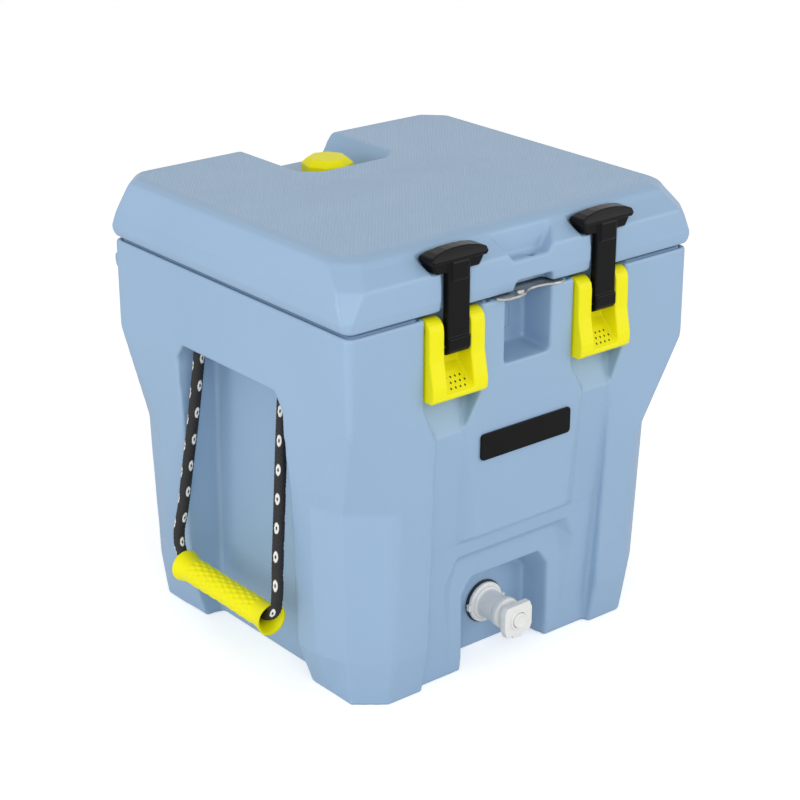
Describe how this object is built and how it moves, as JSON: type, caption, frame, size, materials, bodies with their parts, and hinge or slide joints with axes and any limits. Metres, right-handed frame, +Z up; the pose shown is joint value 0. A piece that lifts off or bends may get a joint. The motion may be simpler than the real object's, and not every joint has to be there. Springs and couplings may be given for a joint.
{
  "type": "insulated beverage dispenser",
  "caption": "Insulated drinks dispenser with hinged latched lid, screw filler cap, push-button spigot and swinging rope handles.",
  "frame": {"origin": "on the floor under the middle of the bounding box", "axes": "+X to the right seen from the front (across both rope handles), front with the spigot faces -Y, +Z up"},
  "size_m": [0.4772, 0.408, 0.462],
  "materials": {
    "shell_blue": "moulded, fine grain",
    "yellow": "satin moulded",
    "strap_black": "satin moulded",
    "spigot_white": "moulded",
    "steel": "stamped",
    "foam": "rigid foam",
    "seal": "moulded",
    "liner_white": "moulded",
    "badge": "satin",
    "rope": "braided with white flecks"
  },
  "bodies": {
    "body": {"outer_shell": "shell_blue", "body_foam": "foam", "inner_liner": "shell_blue", "badge_plate": "badge", "bottle_opener_plate": "steel", "opener_screw_left": "steel", "opener_screw_right": "steel", "hinge_pin_left": "steel", "hinge_pin_right": "steel", "spigot_gasket_outer": "seal", "spigot_gasket_inner": "seal", "spigot_nut": "spigot_white", "spigot_body": "spigot_white", "spigot_bonnet": "spigot_white", "lever_pin_left": "steel", "lever_pin_right": "steel", "rope_knot_left_front": "rope", "rope_knot_left_back": "rope", "rope_knot_right_front": "rope", "rope_knot_right_back": "rope"},
    "lid": {"lid_shell": "shell_blue", "lid_foam": "foam", "lid_liner": "shell_blue", "lid_gasket": "seal", "fill_neck": "liner_white"},
    "cap_seal": {"fill_cap_gasket": "seal"},
    "cap": {"fill_cap": "yellow"},
    "button": {"spigot_button": "spigot_white", "spigot_seal": "seal"},
    "lever_left": {"latch_lever_left": "yellow", "strap_pin_left": "steel"},
    "strap_left": {"latch_strap_left": "strap_black"},
    "handle_left": {"rope_left": "rope"},
    "grip_left": {"grip_left": "yellow"},
    "lever_right": {"latch_lever_right": "yellow", "strap_pin_right": "steel"},
    "strap_right": {"latch_strap_right": "strap_black"},
    "handle_right": {"rope_right": "rope"},
    "grip_right": {"grip_right": "yellow"}
  },
  "joints": [
    {"name": "lid_hinge", "type": "hinge", "parent": "body", "child": "lid", "pos_m": [0, 0.197, 0.398], "axis": [-1, 0, 0], "range_deg": [0, 100]},
    {"name": "cap_lift", "type": "slide", "parent": "lid", "child": "cap_seal", "axis": [0, 0, 1], "range_m": [0, 0.008]},
    {"name": "cap_turn", "type": "hinge", "parent": "cap_seal", "child": "cap", "pos_m": [0, 0.118, 0.4399], "axis": [0, 0, 1], "range_deg": [0, 720]},
    {"name": "button_press", "type": "slide", "parent": "body", "child": "button", "axis": [0, 1, 0], "range_m": [0, 0.005], "stiffness_N_per_m": 300},
    {"name": "lever_left_swing", "type": "hinge", "parent": "body", "child": "lever_left", "pos_m": [-0.093, -0.187, 0.384], "axis": [-1, 0, 0], "range_deg": [0, 100]},
    {"name": "strap_left_swing", "type": "hinge", "parent": "lever_left", "child": "strap_left", "pos_m": [-0.093, -0.194, 0.366], "axis": [-1, 0, 0], "range_deg": [-125, 0]},
    {"name": "handle_left_swing", "type": "hinge", "parent": "body", "child": "handle_left", "pos_m": [-0.198, 0, 0.3075], "axis": [0, 1, 0], "range_deg": [-2.5, 85]},
    {"name": "grip_left_spin", "type": "hinge", "parent": "handle_left", "child": "grip_left", "pos_m": [-0.222, 0, 0.0753], "axis": [0, 1, 0], "continuous": true},
    {"name": "lever_right_swing", "type": "hinge", "parent": "body", "child": "lever_right", "pos_m": [0.093, -0.187, 0.384], "axis": [-1, 0, 0], "range_deg": [0, 100]},
    {"name": "strap_right_swing", "type": "hinge", "parent": "lever_right", "child": "strap_right", "pos_m": [0.093, -0.194, 0.366], "axis": [-1, 0, 0], "range_deg": [-125, 0]},
    {"name": "handle_right_swing", "type": "hinge", "parent": "body", "child": "handle_right", "pos_m": [0.198, 0, 0.3075], "axis": [0, -1, 0], "range_deg": [-2.5, 85]},
    {"name": "grip_right_spin", "type": "hinge", "parent": "handle_right", "child": "grip_right", "pos_m": [0.222, 0, 0.0753], "axis": [0, 1, 0], "continuous": true}
  ],
  "couplings": [
    {"joint": "cap_lift", "follows": "cap_turn", "m_per_rad": 0.00063662},
    {"joint": "strap_left_swing", "follows": "lever_left_swing", "ratio": -1.25},
    {"joint": "strap_right_swing", "follows": "lever_right_swing", "ratio": -1.25}
  ]
}
